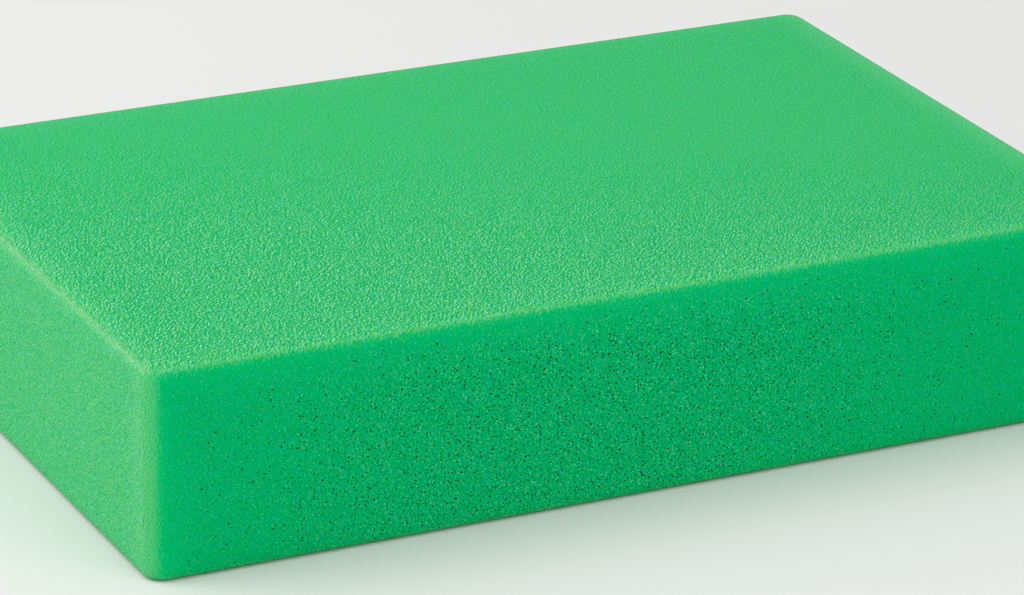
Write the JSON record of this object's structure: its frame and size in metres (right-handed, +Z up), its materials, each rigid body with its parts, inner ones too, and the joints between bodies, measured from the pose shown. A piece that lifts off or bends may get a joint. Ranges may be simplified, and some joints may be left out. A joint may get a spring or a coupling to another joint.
{
  "type": "filter sponge",
  "caption": "Rectangular block of fine open-cell filter foam with softened edges and corners. It strains dirt out of water that is pumped through it, and lies flat on its largest face.",
  "frame": {"origin": "centre of the bottom face, the face it lies on", "axes": "+X along the length, +Y across the width from the front face to the back face, +Z up through the thickness"},
  "size_m": [0.195, 0.125, 0.04],
  "materials": {
    "foam": "matt bright green fine open-cell polyurethane foam, cut faces with open cells and scattered dark pores, paler soft edges"
  },
  "bodies": {
    "root": {"foam_block": "foam"}
  },
  "joints": []
}
